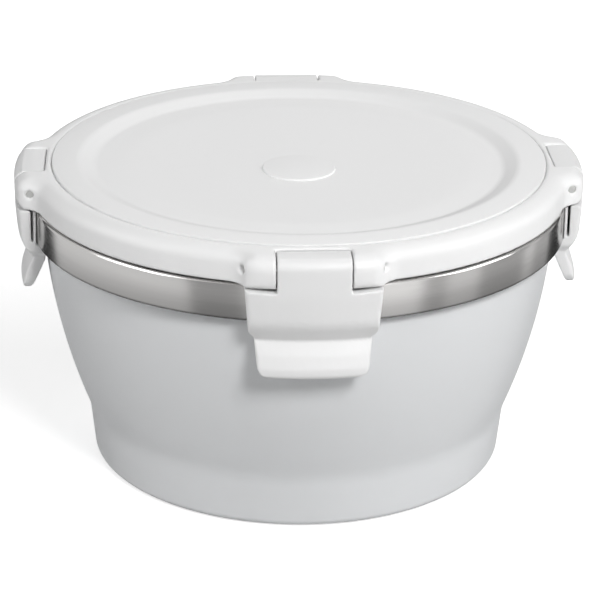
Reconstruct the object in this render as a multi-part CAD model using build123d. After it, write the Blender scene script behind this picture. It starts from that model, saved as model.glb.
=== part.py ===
from build123d import *
import math
import os

# Sizes in millimetres, angles in degrees. Origin at the middle of the base, Z up, front latch towards -Y.

# Steel rim collar and liner
BAND_R = 82.5
BAND_HEIGHT = 10.85
FLANGE_TOP = 85.05
FLANGE_WIDTH = 9.0
SHEET = 0.8
RIM_ROUND = 1.0
MOUTH_ROUND = 0.75
BAND_BOTTOM = FLANGE_TOP - BAND_HEIGHT
MOUTH_R = BAND_R - FLANGE_WIDTH

# Painted outer shell
SHELL_WALL = 0.7
FOOT_INSET = 18.3
FOOT_ROUND = 2.6
WAIST_STEP = 1.8
WAIST_Z = 17.0
WAIST_ROUND = 24.0
BELLY_INSET = 8.35
BELLY_SHARE = 0.4458
SHOULDER_INSET = 3.42
TOP_INSET = 2.7
REST_WIDTH = 9.4
BASE_RECESS = 2.6
BASE_ROUND = 1.2
FOOT_R = BAND_R - FOOT_INSET
WAIST_R = FOOT_R + WAIST_STEP
SHOULDER_R = BAND_R - SHOULDER_INSET
SHOULDER_Z = BAND_BOTTOM
BELLY_R = BAND_R - BELLY_INSET
BELLY_Z = WAIST_Z + BELLY_SHARE * (SHOULDER_Z - WAIST_Z)
SHELL_TOP_R = BAND_R - TOP_INSET
REST_INNER_R = FOOT_R - REST_WIDTH

# Inside of the liner
LINER_TAPER = 0.2
LINER_UPRIGHT = 25.6
LINER_FLOOR_INSET = 4.4
LINER_FLOOR_Z = 7.7
LINER_BEND = 70.0
LINER_CORNER = 18.0
LINER_WAIST_R = MOUTH_R - LINER_TAPER
LINER_WAIST_Z = FLANGE_TOP - LINER_UPRIGHT
LINER_FLOOR_R = FOOT_R - LINER_FLOOR_INSET

# Base cover, evacuation hole, seal and getter
COVER_CLEAR = 1.4
COVER_THICK = 0.6
HOLE_R = 3.0
SEAL_LIP = 2.0
SEAL_HEAD = 0.9
GETTER_R = 5.0
GETTER_THICK = 1.6
GETTER_OFFSET = 26.0
COVER_R = REST_INNER_R - COVER_CLEAR

# Lid levels and the inner plate that reaches into the mouth
LID_GAP = 0.55
LID_HEIGHT = 9.4
LID_ROUND = 4.2
PLUG_CLEAR = 0.7
PLUG_DROP = 2.55
PLUG_WALL = 1.6
PLUG_ROUND = 1.2
LID_BOTTOM = FLANGE_TOP + LID_GAP
LID_TOP = LID_BOTTOM + LID_HEIGHT
PLUG_R = MOUTH_R - PLUG_CLEAR
PLUG_BOTTOM = FLANGE_TOP - PLUG_DROP

# Gasket
GASKET_CLEAR = 0.2
GASKET_WIDTH = 3.4
GASKET_FOOT = 1.0
GASKET_VALLEY = 0.9
GASKET_INNER_R = PLUG_R + GASKET_CLEAR
GASKET_OUTER_R = GASKET_INNER_R + GASKET_WIDTH

# Lid frame
RIM_WIDTH = 6.5
PANEL_CLEAR = 0.15
REBATE_DEPTH = 1.6
SHELF_THICK = 2.0
SHELF_LAP = 1.0
GROOVE_DEPTH = 2.4
CORE_WALL = 2.0
CORE_WIDTH = 1.9
CORE_ROOF = 3.0
CORE_SPAN = 44.0
PANEL_R = BAND_R - RIM_WIDTH
REBATE_R = PANEL_R + PANEL_CLEAR
SHELF_TOP = LID_TOP - REBATE_DEPTH
SHELF_BOTTOM = SHELF_TOP - SHELF_THICK
SHELF_R = PLUG_R - SHELF_LAP
FRAME_BORE_R = PLUG_R + PANEL_CLEAR
GROOVE_R = GASKET_OUTER_R + GASKET_CLEAR
GROOVE_TOP = LID_BOTTOM + GROOVE_DEPTH
CORE_INNER_R = GROOVE_R + CORE_WALL
CORE_OUTER_R = CORE_INNER_R + CORE_WIDTH
CORE_TOP = LID_TOP - CORE_ROOF

# Top panel: stacking dish with a level seat, falling to a plain raised disc in the middle
PANEL_RISE = 0.3
PANEL_EDGE = 0.5
PANEL_MARGIN = 8.3
PANEL_THICK = 1.8
STEP_CLEAR = 0.2
DISH_SLOPE = 4.7
DISH_DEPTH = 1.9
SEAT_WIDTH = 9.0
DISH_FALL = 2.4
DISH_ROUND = 6.0
DISC_R = 11.3
DISC_RISE = 0.6
DISC_EDGE = 0.3
PANEL_TOP = LID_TOP + PANEL_RISE
DISH_TOP_R = PANEL_R - PANEL_MARGIN
DISH_FLOOR_R = DISH_TOP_R - DISH_SLOPE
DISH_FLOOR = PANEL_TOP - DISH_DEPTH
SEAT_R = DISH_FLOOR_R - SEAT_WIDTH
DISH_LOW = DISH_FLOOR - DISH_FALL
PANEL_UNDER = SHELF_BOTTOM + STEP_CLEAR
PANEL_STEP_R = SHELF_R - STEP_CLEAR

# Ears that carry the latch pins
EAR_REACH = 5.1
EAR_HALF = 18.7
EAR_FLARE = 0.5
EAR_CORNER = 5.0
EAR_BLEND = 8.0
EAR_UNDER_ROUND = 2.2
EAR_R = BAND_R + EAR_REACH

# Hinge pins
PIN_INSET = 5.6
PIN_DEPTH = 4.4
PIN_R = 1.25
PIN_PROUD = 1.0
PIN_CHAMFER = 0.25
BORE_CLEAR = 0.06
PIN_U = EAR_R - PIN_INSET
PIN_Z = LID_TOP - PIN_DEPTH
PIN_HALF = EAR_HALF + PIN_PROUD

# Latch knuckle and the notch it turns in
KNUCKLE_HALF = 10.5
KNUCKLE_R = 4.5
KNUCKLE_RISE = 4.05
KNUCKLE_ROUND = 3.3
KNUCKLE_OVERLAP = 0.75
KNUCKLE_TAIL = 3.8
KNUCKLE_TAIL_RISE = 3.75
SIDE_CLEAR = 0.3
TAIL_CLEAR = 0.12
POCKET_CLEAR = 1.0
NOTCH_HALF = KNUCKLE_HALF + SIDE_CLEAR
NOTCH_DEPTH = KNUCKLE_TAIL + TAIL_CLEAR
POCKET_R = KNUCKLE_R + POCKET_CLEAR

# Latch flap in section: thin leaf behind a slit, leaning front, sloped foot and crease
BAND_GAP = 0.15
LEAF_THICK = 0.8
SLIT_WIDTH = 0.8
SLIT_RISE = 0.6
SPLIT_DROP = 1.0
LEAN_DROP = 2.1
LEAN_IN = 0.65
LEAN_ROUND = 40.0
SLOPE_RISE = 0.2
SLOPE_ROUND = 8.0
CREASE_THICK = 0.6
CREASE_DROP = 5.2
CREASE_ROUND = 0.8
LEAF_INNER_R = BAND_R + BAND_GAP
LEAF_OUTER_R = LEAF_INNER_R + LEAF_THICK
FLAP_INNER_R = LEAF_OUTER_R + SLIT_WIDTH
FLAP_R = EAR_R
SLIT_BOTTOM = BAND_BOTTOM + SLIT_RISE
SPLIT_Z = BAND_BOTTOM - SPLIT_DROP
LEAN_Z = LID_BOTTOM - LEAN_DROP
SLOPE_R = FLAP_R - LEAN_IN
SLOPE_Z = BAND_BOTTOM + SLOPE_RISE
CREASE_R = LEAF_INNER_R + CREASE_THICK
CREASE_Z = BAND_BOTTOM - CREASE_DROP

# Hook that catches under the steel collar
HOOK_GAP = 0.6
HOOK_PLAY = 0.2
HOOK_HEIGHT = 5.5
HOOK_TAIL = 7.1
HOOK_ROUND = 4.0
LEAF_DROP = 0.2
HOOK_R = SHOULDER_R + HOOK_GAP
HOOK_TOP = BAND_BOTTOM - HOOK_PLAY
HOOK_NECK_Z = HOOK_TOP - HOOK_HEIGHT
HOOK_TAIL_Z = HOOK_NECK_Z - HOOK_TAIL

# Finger tab in section: bulged front, and a back that carries on the slope of the hook
TAB_OUT = 1.85
TAB_DROP = 4.1
TAB_ROUND = 8.0
BULGE_OUT = 1.2
BULGE_DROP = 3.9
BULGE_ROUND = 3.0
TIP_ROUND = 1.35
TAB_LENGTH = 11.0
TAB_R = CREASE_R + TAB_OUT
TAB_Z = CREASE_Z - TAB_DROP
BULGE_R = TAB_R + BULGE_OUT
BULGE_Z = TAB_Z - BULGE_DROP
TIP_Z = CREASE_Z - TAB_LENGTH
APEX_Z = HOOK_TAIL_Z - HOOK_TAIL * (BULGE_R - LEAF_INNER_R) / (LEAF_INNER_R - HOOK_R)

# Latch outline seen from the front
SHOULDER_OUT = 0.85
SHOULDER_GAP = 0.55
SHOULDER_FALL = 0.5
SIDE_IN = 1.05
SIDE_DROP = 2.6
SIDE_ROUND = 2.2
SIDE_EDGE = 1.6
NECK_IN = 1.65
NECK_DROP = 2.0
NECK_ROUND = 1.0
TAB_IN = 1.1
TAB_CORNER = 4.2
TAB_EDGE = 1.4
TAB_LEAD = 0.04
SHOULDER_HALF = EAR_HALF + SHOULDER_OUT
SHOULDER_OUT_Z = LID_BOTTOM - SHOULDER_GAP
SHOULDER_IN_Z = SHOULDER_OUT_Z - SHOULDER_FALL
SIDE_HALF = SHOULDER_HALF - SIDE_IN
SIDE_Z = BAND_BOTTOM - SIDE_DROP
NECK_HALF = SIDE_HALF - NECK_IN
NECK_Z = SIDE_Z - NECK_DROP
TAB_HALF = NECK_HALF - TAB_IN

# Cutting shapes run past the faces that they cut by this much
PAST = 2.0

LATCH_ANGLES = {"right": 0, "back": 90, "left": 180, "front": 270}


def ring(points, rounds=None):
    """Solid turned about Z from an outline of (radius, height) points, with some corners rounded."""
    outline = make_face(Plane.XZ * Polyline(*points, close=True))
    for index, radius in (rounds or {}).items():
        outline = fillet(corner_near(outline, points[index]), radius)
    return revolve(outline, Axis.Z)


def corner_near(outline, point):
    """The vertex of an upright outline nearest to a (radius, height) point."""
    spot = Vector(point[0], 0, point[1])
    return min(outline.vertices(), key=lambda v: (Vector(v.X, v.Y, v.Z) - spot).length)


def pin_axis_cylinder(radius, half):
    """Cylinder on the hinge line of the latch that faces +X."""
    return Pos(PIN_U, 0, PIN_Z) * Rot(90, 0, 0) * Cylinder(radius, 2 * half)


def liner_cup(inset):
    """The space inside the liner, grown outwards by the inset."""
    points = [
        (0, LINER_FLOOR_Z - inset),
        (LINER_FLOOR_R + inset, LINER_FLOOR_Z - inset),
        (LINER_WAIST_R + inset, LINER_WAIST_Z),
        (MOUTH_R + inset, FLANGE_TOP),
        (0, FLANGE_TOP),
    ]
    return ring(points, {2: LINER_BEND + inset, 1: LINER_CORNER + inset})


def make_inner_bowl():
    top = FLANGE_TOP - SHEET
    collar = ring(
        [
            (MOUTH_R, top),
            (BAND_R - SHEET, top),
            (BAND_R - SHEET, BAND_BOTTOM),
            (BAND_R, BAND_BOTTOM),
            (BAND_R, FLANGE_TOP),
            (MOUTH_R, FLANGE_TOP),
        ],
        {4: RIM_ROUND, 1: RIM_ROUND - SHEET},
    )
    bowl = collar + liner_cup(SHEET) - liner_cup(0)
    mouth = [e for e in bowl.edges().filter_by(GeomType.CIRCLE) if is_mouth_edge(e)]
    return fillet(mouth, MOUTH_ROUND)


def is_mouth_edge(edge):
    return abs(edge.radius - MOUTH_R) < 0.2 and abs(edge.center().Z - FLANGE_TOP) < 0.05


def shell_form(inset):
    """The outer shell's form, shrunk by the inset on its sides and floor."""
    foot = (FOOT_R - inset, inset)
    waist = (WAIST_R - inset, WAIST_Z)
    belly = (BELLY_R - inset, BELLY_Z)
    shoulder = (SHOULDER_R - inset, SHOULDER_Z)
    top = FLANGE_TOP - SHEET
    outline = make_face(
        Curve()
        + [
            Plane.XZ * Line((0, inset), foot),
            Plane.XZ * Line(foot, waist),
            Plane.XZ * ThreePointArc(waist, belly, shoulder),
            Plane.XZ * Polyline(shoulder, (SHELL_TOP_R - inset, top), (0, top), (0, inset)),
        ]
    )
    outline = fillet(corner_near(outline, waist), WAIST_ROUND)
    outline = fillet(corner_near(outline, foot), FOOT_ROUND - inset)
    return revolve(outline, Axis.Z)


def recess(inset):
    """The hollow under the base, shrunk by the inset."""
    rise = BASE_RECESS + inset
    radius = REST_INNER_R + inset
    return ring([(0, -PAST), (radius, -PAST), (radius, rise), (0, rise)], {2: BASE_ROUND + inset})


def make_outer_shell():
    shell = shell_form(0) - (shell_form(SHELL_WALL) - recess(SHELL_WALL)) - recess(0)
    return shell - Pos(0, 0, BASE_RECESS) * Cylinder(HOLE_R, 2 * PAST)


def make_base_cover():
    return Pos(0, 0, BASE_RECESS - SEAL_HEAD - COVER_THICK / 2) * Cylinder(COVER_R, COVER_THICK)


def make_vacuum_seal():
    plug = Pos(0, 0, BASE_RECESS + SHELL_WALL / 2) * Cylinder(HOLE_R, SHELL_WALL)
    return plug + Pos(0, 0, BASE_RECESS - SEAL_HEAD / 2) * Cylinder(HOLE_R + SEAL_LIP, SEAL_HEAD)


def make_getter():
    height = BASE_RECESS + SHELL_WALL + GETTER_THICK / 2
    return Pos(0, GETTER_OFFSET, height) * Cylinder(GETTER_R, GETTER_THICK)


def ear_plan():
    """Half-width of an ear falls as it goes outwards, so its ends flare into the rim."""
    root_u = BAND_R - EAR_BLEND
    tip_u = EAR_R + PAST
    edge_u = math.sqrt(EAR_R**2 - EAR_HALF**2)
    root = EAR_HALF + (edge_u - root_u) * EAR_FLARE
    tip = EAR_HALF + (edge_u - tip_u) * EAR_FLARE
    wedge = make_face(Polyline((root_u, -root), (tip_u, -tip), (tip_u, tip), (root_u, root), close=True))
    return wedge & Circle(EAR_R)


def lid_plan():
    """The lid's outline from above: a circle with four ear blocks blended into it."""
    plan = Circle(BAND_R) + [Rot(0, 0, angle) * ear_plan() for angle in LATCH_ANGLES.values()]
    plan = fillet([v for v in plan.vertices() if reach(v) > EAR_R - EAR_REACH / 2], EAR_CORNER)
    plan = fillet([v for v in plan.vertices() if reach(v) < BAND_R + EAR_REACH / 2], EAR_BLEND)
    return plan


def reach(vertex):
    """Distance of a vertex from the upright axis."""
    return math.hypot(vertex.X, vertex.Y)


def make_lid_frame():
    block = extrude(Pos(0, 0, LID_BOTTOM) * lid_plan(), LID_TOP - LID_BOTTOM, dir=(0, 0, 1))
    block = fillet(block.faces().sort_by(Axis.Z)[-1].outer_wire().edges(), LID_ROUND)
    inside = ring(
        [
            (0, LID_BOTTOM - PAST),
            (GROOVE_R, LID_BOTTOM - PAST),
            (GROOVE_R, GROOVE_TOP),
            (FRAME_BORE_R, GROOVE_TOP),
            (FRAME_BORE_R, SHELF_BOTTOM),
            (SHELF_R, SHELF_BOTTOM),
            (SHELF_R, SHELF_TOP),
            (REBATE_R, SHELF_TOP),
            (REBATE_R, LID_TOP + PAST),
            (0, LID_TOP + PAST),
        ]
    )
    corner_u = EAR_R - EAR_UNDER_ROUND
    corner_z = LID_BOTTOM + EAR_UNDER_ROUND
    below = LID_BOTTOM - PAST
    beyond = EAR_R + PAST
    under = ring([(corner_u, below), (beyond, below), (beyond, corner_z), (corner_u, corner_z)])
    under -= Pos(0, 0, corner_z) * Torus(corner_u, EAR_UNDER_ROUND)
    frame = block - inside - under
    for angle in LATCH_ANGLES.values():
        frame -= Rot(0, 0, angle) * latch_notch()
        frame -= Rot(0, 0, angle + 45) * core_slot()
    return frame


def latch_notch():
    """Room in the lid for one knuckle, with the pin bore through both ears."""
    height = LID_HEIGHT + 2 * PAST
    wall_u = PIN_U - NOTCH_DEPTH
    depth = EAR_R + PAST - wall_u
    slot = Pos(wall_u + depth / 2, 0, LID_BOTTOM - PAST + height / 2) * Box(depth, 2 * NOTCH_HALF, height)
    return slot + pin_axis_cylinder(POCKET_R, NOTCH_HALF) + pin_axis_cylinder(PIN_R, 2 * PIN_HALF)


def core_slot():
    """One hollow under the rim between two latches."""
    start = Rot(0, 0, -CORE_SPAN / 2)
    outline = make_face(
        Plane.XZ
        * Polyline(
            (CORE_INNER_R, LID_BOTTOM - PAST),
            (CORE_OUTER_R, LID_BOTTOM - PAST),
            (CORE_OUTER_R, CORE_TOP),
            (CORE_INNER_R, CORE_TOP),
            close=True,
        )
    )
    return start * revolve(outline, Axis.Z, CORE_SPAN)


def make_lid_top_panel():
    points = [
        (0, DISH_LOW - PANEL_THICK),
        (DISC_R, DISH_LOW - PANEL_THICK),
        (SEAT_R, DISH_FLOOR - PANEL_THICK),
        (PANEL_STEP_R, PANEL_UNDER),
        (PANEL_STEP_R, SHELF_TOP),
        (PANEL_R, SHELF_TOP),
        (PANEL_R, PANEL_TOP),
        (DISH_TOP_R, PANEL_TOP),
        (DISH_FLOOR_R, DISH_FLOOR),
        (SEAT_R, DISH_FLOOR),
        (DISC_R, DISH_LOW),
        (DISC_R, DISH_LOW + DISC_RISE),
        (0, DISH_LOW + DISC_RISE),
    ]
    return ring(points, {11: DISC_EDGE, 8: DISH_ROUND, 7: DISH_ROUND, 6: PANEL_EDGE})


def make_lid_inner_plate():
    cup = PLUG_BOTTOM + PLUG_WALL
    points = [
        (0, PLUG_BOTTOM),
        (PLUG_R, PLUG_BOTTOM),
        (PLUG_R, SHELF_BOTTOM),
        (PLUG_R - PLUG_WALL, SHELF_BOTTOM),
        (PLUG_R - PLUG_WALL, cup),
        (0, cup),
    ]
    return ring(points, {1: PLUG_ROUND})


def make_lid_gasket():
    """Soft ring with an outer foot that rests on the steel rim."""
    valley = FLANGE_TOP + GASKET_VALLEY
    points = [
        (GASKET_INNER_R, GROOVE_TOP),
        (GASKET_INNER_R, valley),
        (GASKET_OUTER_R - GASKET_FOOT, valley),
        (GASKET_OUTER_R - GASKET_FOOT, FLANGE_TOP),
        (GASKET_OUTER_R, FLANGE_TOP),
        (GASKET_OUTER_R, GROOVE_TOP),
    ]
    return ring(points)


def make_pin():
    pin = pin_axis_cylinder(PIN_R, PIN_HALF)
    return chamfer(pin.edges().filter_by(GeomType.CIRCLE), PIN_CHAMFER)


def latch_outline(neck, shoulder_drop):
    """Front outline of a latch as a thick slab, for trimming the turned solids."""
    right = neck + [
        (KNUCKLE_HALF, SHOULDER_IN_Z - shoulder_drop),
        (SHOULDER_HALF, SHOULDER_OUT_Z - shoulder_drop),
        (SIDE_HALF, SIDE_Z),
        (NECK_HALF, NECK_Z),
        (TAB_HALF, TIP_Z),
    ]
    left = [(-t, z) for t, z in reversed(right)]
    face = make_face(Plane.YZ * Polyline(*right, *left, close=True))
    for height, radius in ((TIP_Z, TAB_CORNER), (SIDE_Z, SIDE_ROUND), (NECK_Z, NECK_ROUND)):
        face = fillet([v for v in face.vertices() if abs(v.Z - height) < 0.01], radius)
    return extrude(face, EAR_R + PAST, dir=(1, 0, 0))


def make_latch():
    top = PIN_Z + KNUCKLE_RISE
    wall = ring(
        [
            (FLAP_INNER_R, top),
            (FLAP_INNER_R, SLIT_BOTTOM),
            (LEAF_OUTER_R, SLIT_BOTTOM),
            (LEAF_OUTER_R, SPLIT_Z),
            (LEAF_INNER_R, SPLIT_Z),
            (LEAF_INNER_R, HOOK_TAIL_Z),
            (BULGE_R, APEX_Z),
            (BULGE_R, BULGE_Z),
            (TAB_R, TAB_Z),
            (CREASE_R, CREASE_Z),
            (SLOPE_R, SLOPE_Z),
            (FLAP_R, LEAN_Z),
            (FLAP_R, top),
        ],
        {
            12: KNUCKLE_ROUND,
            11: LEAN_ROUND,
            10: SLOPE_ROUND,
            9: CREASE_ROUND,
            8: TAB_ROUND,
            7: BULGE_ROUND,
            6: TIP_ROUND,
        },
    )
    flap = wall & latch_outline([(KNUCKLE_HALF, top + PAST)], 0) & rounded_sides()
    return flap + knuckle() - pin_axis_cylinder(PIN_R + BORE_CLEAR, PIN_HALF)


def rounded_plan(height, out, half, edge):
    """A latch's outline from above at a height, with its two outer edges rounded."""
    strip = make_face(Polyline((0, -half), (out + PAST, -half), (out + PAST, half), (0, half), close=True))
    plan = strip & Circle(out)
    plan = fillet([v for v in plan.vertices() if v.X > PAST], edge)
    return Pos(0, 0, height) * plan


def plate_plan(height):
    half = SIDE_HALF + SIDE_IN * (height - SIDE_Z) / (SHOULDER_OUT_Z - SIDE_Z)
    out = SLOPE_R + LEAN_IN * (height - SLOPE_Z) / (LEAN_Z - SLOPE_Z)
    return rounded_plan(height, out, half, SIDE_EDGE)


def tab_plan(height, out):
    half = NECK_HALF - TAB_IN * (NECK_Z - height) / (NECK_Z - TIP_Z)
    return rounded_plan(height, out + TAB_LEAD, half, TAB_EDGE)


def rounded_sides():
    """The space inside the rounded side edges of the plate and of the tab below it."""
    plate = loft([plate_plan(SIDE_Z), plate_plan(LID_TOP + PAST)], ruled=True)
    levels = [
        (TIP_Z - PAST, BULGE_R),
        (BULGE_Z, BULGE_R),
        (TAB_Z, TAB_R),
        (CREASE_Z, CREASE_R + CREASE_ROUND),
    ]
    tab = loft([tab_plan(height, out) for height, out in levels], ruled=True)
    drop = SIDE_Z - CREASE_Z
    neck = Pos(EAR_R / 2, 0, SIDE_Z - drop / 2) * Box(EAR_R + PAST, 2 * EAR_R, drop)
    return plate + neck + tab


def knuckle():
    """Barrel that turns on the pin, with a tail that closes the gap behind it."""
    run = FLAP_INNER_R - PIN_U
    foot = (FLAP_INNER_R, PIN_Z - math.sqrt(KNUCKLE_R**2 - run**2))
    low = KNUCKLE_R / math.sqrt(2)
    block_u = FLAP_INNER_R + KNUCKLE_OVERLAP
    top = PIN_Z + KNUCKLE_RISE
    back = (PIN_U - KNUCKLE_R, PIN_Z)
    outline = make_face(
        Curve()
        + [
            Plane.XZ * ThreePointArc(foot, (PIN_U - low, PIN_Z - low), back),
            Plane.XZ
            * Polyline(
                back,
                (PIN_U - KNUCKLE_TAIL, PIN_Z + KNUCKLE_TAIL_RISE),
                (PIN_U, top),
                (block_u, top),
                (block_u, foot[1]),
                foot,
            ),
        ]
    )
    return extrude(outline, KNUCKLE_HALF, both=True)


def make_hook():
    leaf = ring(
        [
            (LEAF_OUTER_R, PIN_Z),
            (LEAF_OUTER_R, SPLIT_Z),
            (LEAF_INNER_R, SPLIT_Z),
            (LEAF_INNER_R, HOOK_TAIL_Z),
            (HOOK_R, HOOK_NECK_Z),
            (HOOK_R, HOOK_TOP),
            (LEAF_INNER_R, HOOK_TOP),
            (LEAF_INNER_R, PIN_Z),
        ],
        {4: HOOK_ROUND},
    )
    return leaf & latch_outline([], LEAF_DROP)


def save(solid, name):
    export_step(solid, f"parts/{name}.step")


os.makedirs("parts", exist_ok=True)
save(make_inner_bowl(), "inner_bowl")
save(make_outer_shell(), "outer_shell")
save(make_base_cover(), "base_cover")
save(make_vacuum_seal(), "vacuum_seal")
save(make_getter(), "getter")
save(make_lid_frame(), "lid_frame")
save(make_lid_top_panel(), "lid_top_panel")
save(make_lid_inner_plate(), "lid_inner_plate")
save(make_lid_gasket(), "lid_gasket")
pin, latch, hook = make_pin(), make_latch(), make_hook()
for side, angle in LATCH_ANGLES.items():
    turn = Rot(0, 0, angle)
    save(turn * pin, f"pin_{side}")
    save(turn * latch, f"latch_{side}")
    save(turn * hook, f"latch_{side}_hook")
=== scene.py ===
import math

import bmesh
import bpy
from mathutils import Matrix, Vector


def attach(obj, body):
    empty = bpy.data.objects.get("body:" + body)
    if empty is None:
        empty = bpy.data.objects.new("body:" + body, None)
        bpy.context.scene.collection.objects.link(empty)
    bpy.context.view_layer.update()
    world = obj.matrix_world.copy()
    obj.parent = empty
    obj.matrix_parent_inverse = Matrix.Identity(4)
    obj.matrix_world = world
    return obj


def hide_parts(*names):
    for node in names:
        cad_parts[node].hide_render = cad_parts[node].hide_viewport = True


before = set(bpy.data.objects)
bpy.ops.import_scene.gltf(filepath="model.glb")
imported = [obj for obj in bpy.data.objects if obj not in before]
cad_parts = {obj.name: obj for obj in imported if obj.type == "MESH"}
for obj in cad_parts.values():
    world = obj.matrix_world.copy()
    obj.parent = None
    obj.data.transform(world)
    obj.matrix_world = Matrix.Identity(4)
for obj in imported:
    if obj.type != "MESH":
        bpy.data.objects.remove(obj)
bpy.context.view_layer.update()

# Lengths are in millimetres and angles in degrees unless a comment says otherwise
MM = 0.001
SIDES = {"right": 0, "back": 90, "left": 180, "front": 270}

# Camera, worked out from the round edges seen in the photograph
CAMERA_REACH = 754.05
CAMERA_HEIGHT = 358.74
CAMERA_ROUND = -3.2
CAMERA_YAW = -0.06
CAMERA_PITCH = 22.455
CAMERA_ROLL = 0.61
CAMERA_LENS = 155.04
SENSOR_WIDTH = 36

# Steel liner with its collar
BAND_R = 82.5
BAND_BOTTOM = 74.2
FLANGE_TOP = 85.05
SHEET = 0.8
RIM_ROUND = 1.0
COLLAR_EDGE = 0.25
MOUTH_R = 73.5
MOUTH_ROUND = 0.75
LINER_WAIST = (73.3, 59.45)
LINER_WAIST_ROUND = 70.0
LINER_FLOOR = (59.8, 7.7)
LINER_FLOOR_ROUND = 18.0

# Painted outer shell
SHELL_WALL = 0.7
SHELL_TOP_R = 79.8
SHOULDER = (79.08, BAND_BOTTOM)
BELLY = (74.15, 42.5)
WAIST = (66.0, 17.0)
WAIST_ROUND = 24.0
FOOT_R = 64.2
FOOT_ROUND = 2.6
REST_INNER_R = 54.8
REST_ROUND = 0.6
BASE_RECESS = 2.6
RECESS_ROUND = 1.2

# Lid panel
PANEL_R = 76.0
PANEL_TOP = 95.3
PANEL_EDGE = 0.35
PANEL_THICK = 1.8
PANEL_UNDER = 91.6
PANEL_STEP_R = 71.6
SHELF_TOP = 93.4
DISH_TOP_R = 67.7
DISH_FLOOR_R = 63.0
DISH_FLOOR = 93.4
DISH_LOW = 91.0
DISH_ROUND = 6.0
SEAT_R = 54.0
SEAT_ROUND = 60.0
DISC_R = 11.3
DISC_RISE = 0.6
DISC_EDGE = 0.35
DISC_FOOT_ROUND = 0.2

# Hinge pins
PIN_U = 82.0
PIN_Z = 90.6
PIN_R = 1.25
PIN_HALF = 19.7
PIN_EDGE = 0.35

# Fineness of turned pieces: segments round the axis, steps in each rounded corner
LINER_SEGMENTS, LINER_STEPS = 360, 12
SHELL_SEGMENTS, SHELL_STEPS = 320, 10
PANEL_SEGMENTS, PANEL_STEPS = 320, 8
PIN_SEGMENTS, PIN_STEPS = 48, 6
BELLY_STEPS = 24
WAIST_STEPS = 14
TURNED_SHARP = 35

# Moulded pieces are softened from the CAD solids on a fine grid, in some smoothing passes
LATCH_GRID, LATCH_PASSES = 0.26, 9
FRAME_GRID, FRAME_PASSES = 0.55, 3
SOFTEN = 0.5
MOULDED_SHARP = 60

# Points closer than the weld are one point, and faces thinner than the sliver are dropped, in metres
WELD = 1e-6
SLIVER = 1e-7

# Surface marks: noise scales per metre, heights in metres
MOTTLE_SCALE = 22
GRAIN_SCALE = 900
GRAIN_DETAIL = {"Grain": 2, "Mottle": 3}
GRAIN_HEIGHT = 0.00005
BRUSH_LENGTH = 9
BRUSH_FINENESS = 2600
BRUSH_NOISE = {"Marks": (1.0, 4), "Drift": (0.09, 2)}
BRUSH_HEIGHT = 0.00002
BRUSH_STRETCH = 0.7
BRUSH_TURN = 0.25
MASK_LOW, MASK_HIGH = 0.3, 0.7

# Painted shade on the collar's lower edge, in place of the shadow and dark reflection under the collar:
# a dark line, a slow fall above it, and none inside the collar
PAINTED_EDGE_SHADE_SIZES = {
    "Edge Height": BAND_BOTTOM * MM,
    "Line": 0.9 * MM,
    "Line Level": 0.12,
    "Fall": 9 * MM,
    "Fall Level": 0.62,
    "Inside": 79 * MM,
}

# Studio walls and cards, seen only in reflections: angle from the front (positive to the right),
# half-width and brightness of each card, with soft edges
WALL_LEVEL = 0.80
CARD_EDGE = 2.5
CARDS = (
    (-165, 12, 0.20),
    (-141, 9, 0.04),
    (-37, 11, 0.40),
    (40, 9, 1.10),
    (57, 4, 0.55),
    (94, 13, 0.46),
    (123, 5, 0.50),
    (142, 10, 0.04),
)
WORLD_SOFT = 0.04
WHITE = (1, 1, 1, 1)

# Floor, a hair under the foot so that no two faces lie in one plane
FLOOR_HALF = 4000
FLOOR_DROP = 0.2
FLOOR_TONE = 0.58
FLOOR_ROUGH = 0.9
FLOOR_SHINE = 0.1
FLOOR_GLOW = 0.64
FLOOR_NEAR = 80
FLOOR_FAR = 360

# Lamps: angle from the front (positive to the right), height angle, width and power in watts
LAMP_TARGET = (0, 0, 50)
LAMP_REACH = 1250
LAMPS = {
    "key": (20, 39, 280, 10.0),
    "left_sheet": (-76, 28, 700, 6.5),
    "right_sheet": (78, 26, 700, 6.6),
    "back_sheet": (170, 40, 800, 2.7),
}


def arc(centre, radius, start, end, steps):
    """Points on a circle between two angles."""
    angles = [math.radians(start + (end - start) * k / steps) for k in range(steps + 1)]
    return [(centre[0] + radius * math.cos(a), centre[1] + radius * math.sin(a)) for a in angles]


def rounded(points, rounds, steps):
    """A closed outline with some corners turned into arcs: rounds gives corner number and radius."""
    outline = []
    count = len(points)
    for k, point in enumerate(points):
        if k not in rounds:
            outline.append(point)
            continue
        here = Vector(point)
        back = (Vector(points[k - 1]) - here).normalized()
        ahead = (Vector(points[(k + 1) % count]) - here).normalized()
        half = back.angle(ahead) / 2
        centre = here + (back + ahead).normalized() * (rounds[k] / math.sin(half))
        first = here + back * (rounds[k] / math.tan(half)) - centre
        last = here + ahead * (rounds[k] / math.tan(half)) - centre
        start = math.degrees(math.atan2(first.y, first.x))
        sweep = math.degrees(math.atan2(first.cross(last), first.dot(last)))
        outline += arc(centre, rounds[k], start, start + sweep, steps)
    return outline


def circle_through(a, b, c):
    """Centre and radius of the circle through three points."""
    ax, ay, bx, by, cx, cy = *a, *b, *c
    d = 2 * (ax * (by - cy) + bx * (cy - ay) + cx * (ay - by))
    sa, sb, sc = ax * ax + ay * ay, bx * bx + by * by, cx * cx + cy * cy
    x = (sa * (by - cy) + sb * (cy - ay) + sc * (ay - by)) / d
    y = (sa * (cx - bx) + sb * (ax - cx) + sc * (bx - ax)) / d
    return (x, y), math.hypot(ax - x, ay - y)


def fill(tree, node, sockets):
    """Joins a node's inputs to other sockets, or gives them values."""
    for key, value in sockets.items():
        if isinstance(value, bpy.types.NodeSocket):
            tree.links.new(value, node.inputs[key])
        else:
            node.inputs[key].default_value = value


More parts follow.
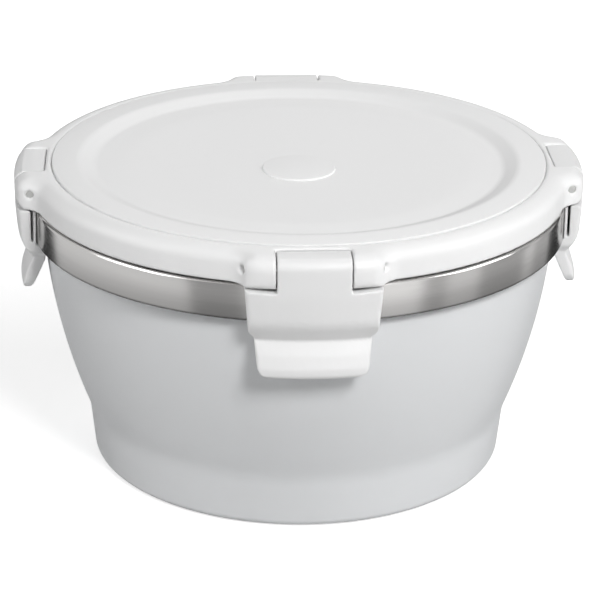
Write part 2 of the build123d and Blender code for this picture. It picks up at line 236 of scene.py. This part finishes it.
def add(tree, kind, sockets=None, **settings):
    """A new node with its settings made and its inputs filled."""
    node = tree.nodes.new(kind)
    for name, value in settings.items():
        setattr(node, name, value)
    fill(tree, node, sockets or {})
    return node


def calc(tree, operation, *values):
    """The result of a maths node on sockets or numbers."""
    return add(tree, "ShaderNodeMath", dict(enumerate(values)), operation=operation).outputs[0]


def turning_tree():
    """Geometry nodes that turn an outline of radius and height about the upright axis."""
    tree = bpy.data.node_groups.new("turned_piece", "GeometryNodeTree")
    for label, kind in (("Outline", "Geometry"), ("Segments", "Int"), ("Finish", "Material")):
        tree.interface.new_socket(label, in_out="INPUT", socket_type="NodeSocket" + kind)
    tree.interface.new_socket("Turned", in_out="OUTPUT", socket_type="NodeSocketGeometry")
    source = tree.nodes.new("NodeGroupInput").outputs
    size = add(tree, "GeometryNodeAttributeDomainSize", {"Geometry": source["Outline"]})
    count = size.outputs["Point Count"]
    columns = calc(tree, "ADD", source["Segments"], 1)
    grid = add(tree, "GeometryNodeMeshGrid", {"Vertices X": columns, "Vertices Y": count})
    index = tree.nodes.new("GeometryNodeInputIndex").outputs[0]
    step = calc(tree, "FLOOR", calc(tree, "DIVIDE", calc(tree, "ADD", index, 0.5), count))
    place = calc(tree, "SUBTRACT", index, calc(tree, "MULTIPLY", step, count))
    angle = calc(tree, "DIVIDE", calc(tree, "MULTIPLY", step, 2 * math.pi), source["Segments"])
    spot = tree.nodes.new("GeometryNodeInputPosition").outputs[0]
    sampled = {"Geometry": source["Outline"], "Value": spot, "Index": place}
    sample = add(tree, "GeometryNodeSampleIndex", sampled, data_type="FLOAT_VECTOR")
    point = add(tree, "ShaderNodeSeparateXYZ", {0: sample.outputs["Value"]}).outputs
    x = calc(tree, "MULTIPLY", point["X"], calc(tree, "COSINE", angle))
    y = calc(tree, "MULTIPLY", point["X"], calc(tree, "SINE", angle))
    ring = add(tree, "ShaderNodeCombineXYZ", {"X": x, "Y": y, "Z": point["Z"]}).outputs[0]
    moved = add(tree, "GeometryNodeSetPosition", {"Geometry": grid.outputs["Mesh"], "Position": ring})
    welded = add(tree, "GeometryNodeMergeByDistance", {"Geometry": moved.outputs[0], "Distance": WELD})
    real = add(tree, "GeometryNodeRealizeInstances", {"Geometry": welded.outputs[0]})
    finished = {"Geometry": real.outputs[0], "Material": source["Finish"]}
    finish = add(tree, "GeometryNodeSetMaterial", finished)
    add(tree, "NodeGroupOutput", {"Turned": finish.outputs[0]})
    return tree


def socket_id(tree, name):
    return next(s.identifier for s in tree.interface.items_tree if s.name == name)


def settle(obj, mesh, sharp):
    """Puts a finished mesh on its object with outward faces and soft shading up to an angle."""
    obj.modifiers.clear()
    shape = bmesh.new()
    shape.from_mesh(mesh)
    bmesh.ops.remove_doubles(shape, verts=shape.verts, dist=WELD)
    bmesh.ops.dissolve_degenerate(shape, edges=shape.edges, dist=SLIVER)
    bmesh.ops.recalc_face_normals(shape, faces=shape.faces)
    shape.to_mesh(mesh)
    shape.free()
    mesh.shade_smooth()
    mesh.set_sharp_from_angle(angle=math.radians(sharp))
    old = obj.data
    obj.data = mesh
    mesh.name = obj.name
    bpy.data.meshes.remove(old)


def evaluated_mesh(obj):
    bpy.context.view_layer.update()
    graph = bpy.context.evaluated_depsgraph_get()
    return bpy.data.meshes.new_from_object(obj.evaluated_get(graph))


def new_object(name, data):
    obj = bpy.data.objects.new(name, data)
    bpy.context.scene.collection.objects.link(obj)
    return obj


def turned(name, outline, finish, segments):
    """A turned piece from a closed outline of (radius, height) points."""
    points = [(r * MM, 0, z * MM) for r, z in [*outline, outline[0]]]
    mesh = bpy.data.meshes.new(name + "_outline")
    mesh.from_pydata(points, [(k, k + 1) for k in range(len(points) - 1)], [])
    obj = new_object(name, mesh)
    modifier = obj.modifiers.new("turning", "NODES")
    modifier.node_group = TURNING
    modifier[socket_id(TURNING, "Segments")] = segments
    modifier[socket_id(TURNING, "Finish")] = finish
    settle(obj, evaluated_mesh(obj), TURNED_SHARP)
    return obj


def moulded(name, nodes, finish, grid, passes):
    """One soft-edged moulding from CAD nodes: joined on a fine grid, then smoothed."""
    shape = bmesh.new()
    for node in nodes:
        shape.from_mesh(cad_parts[node].data)
    bmesh.ops.remove_doubles(shape, verts=shape.verts, dist=WELD)
    mesh = bpy.data.meshes.new(name + "_rough")
    shape.to_mesh(mesh)
    shape.free()
    obj = new_object(name, mesh)
    remesh = obj.modifiers.new("grid", "REMESH")
    remesh.mode = "VOXEL"
    remesh.voxel_size = grid * MM
    smooth = obj.modifiers.new("soften", "SMOOTH")
    smooth.factor = SOFTEN
    smooth.iterations = passes
    settle(obj, evaluated_mesh(obj), MOULDED_SHARP)
    set_finish(obj.data, finish)
    return obj


def set_finish(mesh, finish):
    mesh.materials.clear()
    mesh.materials.append(finish)


def stand_for(obj, body, slot, *nodes):
    """The piece rides on a body and takes the place of its CAD nodes."""
    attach(obj, body)
    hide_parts(*nodes)


def value_group(name, inputs, outputs):
    """An empty shader group with float inputs and outputs, and its input values by name."""
    tree = bpy.data.node_groups.new(name, "ShaderNodeTree")
    for label, default in inputs.items():
        socket = tree.interface.new_socket(label, in_out="INPUT", socket_type="NodeSocketFloat")
        socket.default_value = default
    for label in outputs:
        tree.interface.new_socket(label, in_out="OUTPUT", socket_type="NodeSocketFloat")
    return tree, tree.nodes.new("NodeGroupInput").outputs


def round_place(tree):
    """The surface point's X, Y and Z, and its distance from the upright axis."""
    place = add(tree, "ShaderNodeTexCoord").outputs["Object"]
    point = add(tree, "ShaderNodeSeparateXYZ", {0: place}).outputs
    flat = add(tree, "ShaderNodeCombineXYZ", {"X": point["X"], "Y": point["Y"]}).outputs[0]
    reach = add(tree, "ShaderNodeVectorMath", {0: flat}, operation="LENGTH").outputs["Value"]
    return point, reach


def grain_group():
    """Fine moulding grain and slow mottling for plastics, paint and rubber."""
    scales = {"Grain Scale": GRAIN_SCALE, "Mottle Scale": MOTTLE_SCALE}
    tree, source = value_group("fine_grain", scales, GRAIN_DETAIL)
    place = add(tree, "ShaderNodeTexCoord").outputs["Object"]
    masks = {}
    for label, detail in GRAIN_DETAIL.items():
        sockets = {"Vector": place, "Scale": source[label + " Scale"], "Detail": detail}
        masks[label] = add(tree, "ShaderNodeTexNoise", sockets).outputs["Fac"]
    add(tree, "NodeGroupOutput", masks)
    return tree


def brushing_group():
    """Brush marks that run round the upright axis: long in angle, fine in height and radius."""
    sizes = {"Length": BRUSH_LENGTH, "Fineness": BRUSH_FINENESS}
    tree, source = value_group("round_brushing", sizes, BRUSH_NOISE)
    point, reach = round_place(tree)
    turn = calc(tree, "ARCTAN2", point["Y"], point["X"])
    x = calc(tree, "MULTIPLY", calc(tree, "SINE", turn), source["Length"])
    y = calc(tree, "MULTIPLY", calc(tree, "COSINE", turn), source["Length"])
    z = calc(tree, "MULTIPLY", calc(tree, "ADD", point["Z"], reach), source["Fineness"])
    wrap = add(tree, "ShaderNodeCombineXYZ", {"X": x, "Y": y, "Z": z}).outputs[0]
    masks = {}
    for label, (scale, detail) in BRUSH_NOISE.items():
        sockets = {"Vector": wrap, "Scale": scale, "Detail": detail}
        masks[label] = add(tree, "ShaderNodeTexNoise", sockets).outputs["Fac"]
    add(tree, "NodeGroupOutput", masks)
    return tree


def painted_shade_group():
    """Painted shade towards a collar's lower edge, standing in for shadow and dark reflection: a dark
    line at the edge and a slow fall above it.
    """
    tree, source = value_group("painted_edge_shade", PAINTED_EDGE_SHADE_SIZES, ("Shade",))
    point, reach = round_place(tree)
    above = calc(tree, "SUBTRACT", point["Z"], source["Edge Height"])
    levels = []
    for label in ("Line", "Fall"):
        sockets = {"Value": above, "From Max": source[label], "To Min": source[label + " Level"]}
        ramp = add(tree, "ShaderNodeMapRange", sockets, interpolation_type="SMOOTHSTEP")
        levels.append(ramp.outputs["Result"])
    inside = calc(tree, "LESS_THAN", reach, source["Inside"])
    shade = calc(tree, "MAXIMUM", calc(tree, "MULTIPLY", *levels), inside)
    add(tree, "NodeGroupOutput", {"Shade": shade})
    return tree


def plain_material(name):
    """A material, its node tree and its Principled shader."""
    material = bpy.data.materials.new(name)
    material.use_nodes = True
    tree = material.node_tree
    return material, tree, tree.nodes["Principled BSDF"]


def spread(tree, mask, low, high):
    """A mask's usual range mapped to a range of values."""
    sockets = {"Value": mask, "From Min": MASK_LOW, "From Max": MASK_HIGH, "To Min": low, "To Max": high}
    return add(tree, "ShaderNodeMapRange", sockets).outputs["Result"]


def tint(tree, mask, low, high):
    """Two colours mixed by a mask."""
    sockets = {"Factor": mask, "A": (*low, 1), "B": (*high, 1)}
    return add(tree, "ShaderNodeMix", sockets, data_type="RGBA").outputs["Result"]


def darkened(tree, colour, shade):
    """A colour multiplied by a painted shade."""
    sockets = {"Factor": 1.0, "A": colour, "B": shade}
    mix = add(tree, "ShaderNodeMix", sockets, data_type="RGBA", blend_type="MULTIPLY")
    return mix.outputs["Result"]


def bump(tree, mask, strength, height):
    """A normal that follows a mask as fine relief."""
    sockets = {"Height": mask, "Strength": strength, "Distance": height}
    return add(tree, "ShaderNodeBump", sockets).outputs["Normal"]


def grey(level):
    return (level, level, level)


def satin(name, low, high, rough, grain_scale, depth):
    """Satin moulded or painted surface with fine grain."""
    material, tree, shader = plain_material(name)
    grain = add(tree, "ShaderNodeGroup", node_tree=GRAIN)
    fill(tree, grain, {"Grain Scale": grain_scale})
    surface = {
        "Base Color": tint(tree, grain.outputs["Mottle"], low, high),
        "Roughness": spread(tree, grain.outputs["Mottle"], *rough),
        "Normal": bump(tree, grain.outputs["Grain"], depth, GRAIN_HEIGHT),
    }
    fill(tree, shader, surface)
    return material


def brushed(name, low, high, rough, fineness, depth, painted_shade=False):
    """Steel with brush marks round the axis, so that its reflections are drawn out upwards, and, when
    asked, painted shade at the collar's lower edge.
    """
    material, tree, shader = plain_material(name)
    marks = add(tree, "ShaderNodeGroup", node_tree=BRUSHING)
    fill(tree, marks, {"Fineness": fineness})
    colour = tint(tree, marks.outputs["Drift"], low, high)
    if painted_shade:
        # Painted shade and dark reflection: the colour is darkened towards the collar's lower edge
        edge = add(tree, "ShaderNodeGroup", node_tree=PAINTED_EDGE_SHADE)
        colour = darkened(tree, colour, edge.outputs["Shade"])
    tangent = add(tree, "ShaderNodeTangent", direction_type="RADIAL", axis="Z")
    surface = {
        "Base Color": colour,
        "Roughness": spread(tree, marks.outputs["Marks"], *rough),
        "Normal": bump(tree, marks.outputs["Marks"], depth, BRUSH_HEIGHT),
        "Tangent": tangent.outputs["Tangent"],
        "Metallic": 1.0,
        "Anisotropic": BRUSH_STRETCH,
        "Anisotropic Rotation": BRUSH_TURN,
    }
    fill(tree, shader, surface)
    return material


TURNING = turning_tree()
GRAIN = grain_group()
BRUSHING = brushing_group()
PAINTED_EDGE_SHADE = painted_shade_group()

# Finishes: darkest and lightest tint, roughness range, scale of the marks and depth of the relief
LID_WHITE = satin("lid_moulding", grey(0.79), grey(0.82), (0.45, 0.53), 1100, 0.10)
LATCH_WHITE = satin("latch_moulding", grey(0.76), grey(0.78), (0.47, 0.55), 1100, 0.10)
PAINT_WHITE = satin("shell_paint", (0.68, 0.69, 0.70), (0.70, 0.71, 0.72), (0.36, 0.44), 1500, 0.12)
SOFT_GREY = satin("gasket_silicone", (0.62, 0.63, 0.64), (0.68, 0.69, 0.70), (0.55, 0.65), 800, 0.15)
GETTER_GREY = satin("getter_tablet", (0.30, 0.30, 0.31), (0.40, 0.40, 0.41), (0.6, 0.8), 2400, 0.5)
SEAL_DARK = satin("seal_bead", (0.10, 0.11, 0.12), (0.14, 0.15, 0.16), (0.15, 0.25), 700, 0.05)
BAND_TINTS = (0.58, 0.57, 0.56), (0.68, 0.67, 0.66)
# The band's colour carries painted shade towards its lower edge, standing in for the shadow and dark
# reflection there
BAND_STEEL = brushed("brushed_band", *BAND_TINTS, (0.16, 0.24), 2600, 0.10, painted_shade=True)
COVER_STEEL = brushed("base_steel", grey(0.52), grey(0.60), (0.30, 0.45), 1400, 0.25)
PIN_STEEL = brushed("pin_wire", (0.48, 0.48, 0.47), (0.58, 0.58, 0.57), (0.28, 0.40), 3000, 0.15)


def liner_outline():
    """Inner and outer surface of the steel liner, its flange and its turned-down collar."""
    under = FLANGE_TOP - SHEET
    points = [
        (0, LINER_FLOOR[1]),
        LINER_FLOOR,
        LINER_WAIST,
        (MOUTH_R, FLANGE_TOP),
        (BAND_R, FLANGE_TOP),
        (BAND_R, BAND_BOTTOM),
        (BAND_R - SHEET, BAND_BOTTOM),
        (BAND_R - SHEET, under),
        (MOUTH_R + SHEET, under),
        (LINER_WAIST[0] + SHEET, LINER_WAIST[1]),
        (LINER_FLOOR[0] + SHEET, LINER_FLOOR[1] - SHEET),
        (0, LINER_FLOOR[1] - SHEET),
    ]
    rounds = {
        1: LINER_FLOOR_ROUND,
        2: LINER_WAIST_ROUND,
        3: MOUTH_ROUND,
        4: RIM_ROUND,
        5: COLLAR_EDGE,
        6: COLLAR_EDGE,
        7: RIM_ROUND - SHEET,
        9: LINER_WAIST_ROUND + SHEET,
        10: LINER_FLOOR_ROUND + SHEET,
    }
    return rounded(points, rounds, LINER_STEPS)


def shell_side(inset):
    """The shell's upright outline from its top edge down to the foot, moved in by the inset."""
    shoulder, belly, waist = [(r - inset, z) for r, z in (SHOULDER, BELLY, WAIST)]
    foot = Vector((FOOT_R - inset, inset))
    centre, radius = circle_through(waist, belly, shoulder)
    line = (Vector(waist) - foot).normalized()
    start = foot + Vector((line.y, -line.x)) * WAIST_ROUND - Vector(centre)
    along = start.dot(line)
    run = -along - math.sqrt(along**2 - start.length_squared + (radius + WAIST_ROUND) ** 2)
    hollow = Vector(centre) + start + line * run
    toward = math.degrees(math.atan2(hollow.y - centre[1], hollow.x - centre[0]))
    top = math.degrees(math.atan2(shoulder[1] - centre[1], shoulder[0] - centre[0]))
    low = 180 + math.degrees(math.atan2(-line.x, line.y))
    upper = arc(centre, radius, top, toward, BELLY_STEPS)
    lower = arc(hollow, WAIST_ROUND, 180 + toward, low, WAIST_STEPS)
    return [(SHELL_TOP_R - inset, FLANGE_TOP - SHEET), *upper, *lower[1:]]


def shell_outline():
    """Outer side, foot with its recess, and the inner side back up to the top edge."""
    outer = shell_side(0)
    inner = shell_side(SHELL_WALL)
    bottom = [
        (FOOT_R, 0),
        (REST_INNER_R, 0),
        (REST_INNER_R, BASE_RECESS),
        (0, BASE_RECESS),
        (0, BASE_RECESS + SHELL_WALL),
        (REST_INNER_R + SHELL_WALL, BASE_RECESS + SHELL_WALL),
        (REST_INNER_R + SHELL_WALL, SHELL_WALL),
        (FOOT_R - SHELL_WALL, SHELL_WALL),
    ]
    foot_rounds = {
        0: FOOT_ROUND,
        1: REST_ROUND,
        2: RECESS_ROUND,
        5: RECESS_ROUND + SHELL_WALL,
        7: FOOT_ROUND - SHELL_WALL,
    }
    rounds = {len(outer) + k: radius for k, radius in foot_rounds.items()}
    return rounded(outer + bottom + inner[::-1], rounds, SHELL_STEPS)


def panel_outline():
    """Dished top with its raised disc and level seat, and the stepped underside."""
    points = [
        (0, DISH_LOW + DISC_RISE),
        (DISC_R, DISH_LOW + DISC_RISE),
        (DISC_R, DISH_LOW),
        (SEAT_R, DISH_FLOOR),
        (DISH_FLOOR_R, DISH_FLOOR),
        (DISH_TOP_R, PANEL_TOP),
        (PANEL_R, PANEL_TOP),
        (PANEL_R, SHELF_TOP),
        (PANEL_STEP_R, SHELF_TOP),
        (PANEL_STEP_R, PANEL_UNDER),
        (SEAT_R, DISH_FLOOR - PANEL_THICK),
        (DISC_R, DISH_LOW - PANEL_THICK),
        (0, DISH_LOW - PANEL_THICK),
    ]
    rounds = {
        1: DISC_EDGE,
        2: DISC_FOOT_ROUND,
        3: SEAT_ROUND,
        4: DISH_ROUND,
        5: DISH_ROUND,
        6: PANEL_EDGE,
    }
    return rounded(points, rounds, PANEL_STEPS)


def build_bowl():
    liner = turned("steel_liner", liner_outline(), BAND_STEEL, LINER_SEGMENTS)
    stand_for(liner, "bowl", "brushed_steel", "inner_bowl")
    shell = turned("painted_shell", shell_outline(), PAINT_WHITE, SHELL_SEGMENTS)
    stand_for(shell, "bowl", "white_paint", "outer_shell")


def build_lid():
    panel = turned("dished_panel", panel_outline(), LID_WHITE, PANEL_SEGMENTS)
    stand_for(panel, "lid", "white_lid", "lid_top_panel")
    rim = moulded("eared_rim", ["lid_frame"], LID_WHITE, FRAME_GRID, FRAME_PASSES)
    stand_for(rim, "lid", "white_lid", "lid_frame")


def build_pins():
    """Steel pins through the ears, turned upright and then laid along each hinge line."""
    points = [(0, -PIN_HALF), (PIN_R, -PIN_HALF), (PIN_R, PIN_HALF), (0, PIN_HALF)]
    outline = rounded(points, {1: PIN_EDGE, 2: PIN_EDGE}, PIN_STEPS)
    laid = Matrix.Rotation(math.radians(90), 4, "X")
    hinge = Matrix.Translation((PIN_U * MM, 0, PIN_Z * MM))
    for side, angle in SIDES.items():
        pin = turned(f"{side}_pin", outline, PIN_STEEL, PIN_SEGMENTS)
        pin.data.transform(Matrix.Rotation(math.radians(angle), 4, "Z") @ hinge @ laid)
        stand_for(pin, "lid", "pin_steel", f"pin_{side}")


def build_latches():
    for side in SIDES:
        nodes = [f"latch_{side}", f"latch_{side}_hook"]
        flap = moulded(f"{side}_flap", nodes, LATCH_WHITE, LATCH_GRID, LATCH_PASSES)
        stand_for(flap, f"{side}_latch", "white_lid", *nodes)


def finish_cad_nodes():
    """Materials for the CAD pieces that show as they are."""
    finishes = {
        "base_cover": COVER_STEEL,
        "vacuum_seal": SEAL_DARK,
        "getter": GETTER_GREY,
        "lid_inner_plate": LID_WHITE,
        "lid_gasket": SOFT_GREY,
    }
    for name, finish in finishes.items():
        set_finish(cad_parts[name].data, finish)


def build_camera():
    """Camera on the photograph's side of the object, level apart from a slight roll."""
    swing = math.radians(CAMERA_ROUND)
    turn = math.radians(CAMERA_YAW + CAMERA_ROUND)
    pitch = math.radians(CAMERA_PITCH)
    roll = math.radians(CAMERA_ROLL)
    right = Vector((math.cos(turn), math.sin(turn), 0))
    level = Vector((-math.sin(turn), math.cos(turn), 0))
    up = level * math.sin(pitch) + Vector((0, 0, math.cos(pitch)))
    ahead = level * math.cos(pitch) - Vector((0, 0, math.sin(pitch)))
    side = right * math.cos(roll) + up * math.sin(roll)
    top = up * math.cos(roll) - right * math.sin(roll)
    place = Vector((CAMERA_REACH * math.sin(swing), -CAMERA_REACH * math.cos(swing), CAMERA_HEIGHT)) * MM
    lens = bpy.data.cameras.new("camera")
    lens.lens = CAMERA_LENS
    lens.sensor_width = SENSOR_WIDTH
    camera = new_object("camera", lens)
    facing = Matrix((side, top, -ahead)).transposed().to_4x4()
    camera.matrix_world = Matrix.Translation(place) @ facing
    bpy.context.scene.camera = camera


def set_walls(ramp):
    """Turns the list of cards into stops of a ramp over the full turn."""
    stops = []
    for angle, half, level in CARDS:
        stops.append((angle - half - CARD_EDGE, WALL_LEVEL))
        stops.append((angle - half, level))
        stops.append((angle + half, level))
        stops.append((angle + half + CARD_EDGE, WALL_LEVEL))
    for k, (angle, level) in enumerate(stops):
        spot = min(max((angle + 180) / 360, 0), 1)
        stop = ramp.elements[k] if k < 2 else ramp.elements.new(spot)
        stop.position = spot
        stop.color = (*grey(level), 1)


def either(tree, choice, no, yes):
    """One shader or the other, by a mask."""
    return add(tree, "ShaderNodeMixShader", {"Fac": choice, 1: no, 2: yes}).outputs[0]


def build_world():
    """White for the camera, walls and cards for reflections, a little soft light for the rest."""
    world = bpy.data.worlds.new("studio")
    bpy.context.scene.world = world
    world.use_nodes = True
    tree = world.node_tree
    tree.nodes.clear()
    way = add(tree, "ShaderNodeTexCoord").outputs["Generated"]
    split = add(tree, "ShaderNodeSeparateXYZ", {0: way}).outputs
    turn = calc(tree, "ARCTAN2", split["X"], calc(tree, "MULTIPLY", split["Y"], -1))
    share = add(tree, "ShaderNodeMapRange", {"Value": turn, "From Min": -math.pi, "From Max": math.pi})
    walls = add(tree, "ShaderNodeValToRGB", {"Fac": share.outputs["Result"]})
    set_walls(walls.color_ramp)
    soft = add(tree, "ShaderNodeBackground", {"Color": WHITE, "Strength": WORLD_SOFT}).outputs[0]
    mirrored = add(tree, "ShaderNodeBackground", {"Color": walls.outputs["Color"]}).outputs[0]
    seen = add(tree, "ShaderNodeBackground", {"Color": WHITE}).outputs[0]
    path = add(tree, "ShaderNodeLightPath").outputs
    unseen = either(tree, path["Is Glossy Ray"], soft, mirrored)
    surround = either(tree, path["Is Camera Ray"], unseen, seen)
    add(tree, "ShaderNodeOutputWorld", {"Surface": surround})


def floor_material():
    """Pale floor that glows to white away from the object, and is clear when seen from below."""
    material, tree, shader = plain_material("pale_floor")
    place = add(tree, "ShaderNodeTexCoord").outputs["Object"]
    reach = add(tree, "ShaderNodeVectorMath", {0: place}, operation="LENGTH").outputs["Value"]
    limits = {"From Min": FLOOR_NEAR * MM, "From Max": FLOOR_FAR * MM, "To Min": FLOOR_GLOW}
    fade = add(tree, "ShaderNodeMapRange", {"Value": reach, **limits}, interpolation_type="SMOOTHSTEP")
    path = add(tree, "ShaderNodeLightPath").outputs
    surface = {
        "Base Color": (*grey(FLOOR_TONE), 1),
        "Roughness": FLOOR_ROUGH,
        "Specular IOR Level": FLOOR_SHINE,
        "Emission Color": WHITE,
        "Emission Strength": calc(tree, "MULTIPLY", path["Is Camera Ray"], fade.outputs["Result"]),
    }
    fill(tree, shader, surface)
    below = add(tree, "ShaderNodeNewGeometry").outputs["Backfacing"]
    clear = add(tree, "ShaderNodeBsdfTransparent").outputs[0]
    shown = either(tree, below, shader.outputs[0], clear)
    fill(tree, tree.nodes["Material Output"], {"Surface": shown})
    return material


def build_floor():
    """Pale floor that keeps a soft shadow."""
    half, height = FLOOR_HALF * MM, -FLOOR_DROP * MM
    corners = [(x * half, y * half, height) for x, y in ((-1, -1), (1, -1), (1, 1), (-1, 1))]
    mesh = bpy.data.meshes.new("floor")
    mesh.from_pydata(corners, [], [(0, 1, 2, 3)])
    mesh.materials.append(floor_material())
    floor = new_object("floor", mesh)
    floor.visible_glossy = False


def build_light():
    """Soft square lamps round the object, all aimed at its middle."""
    target = Vector(LAMP_TARGET) * MM
    for name, (turn, rise, size, power) in LAMPS.items():
        around, up = math.radians(turn), math.radians(rise)
        level = math.cos(up)
        way = Vector((math.sin(around) * level, -math.cos(around) * level, math.sin(up)))
        lamp = bpy.data.lights.new(name, "AREA")
        lamp.size = size * MM
        lamp.energy = power
        obj = new_object(name, lamp)
        obj.location = way * (LAMP_REACH * MM) + target
        obj.rotation_euler = (target - obj.location).to_track_quat("-Z", "Y").to_euler()


build_camera()
build_world()
build_floor()
build_light()
build_bowl()
build_lid()
build_pins()
build_latches()
finish_cad_nodes()
bpy.context.scene.view_settings.view_transform = "Standard"
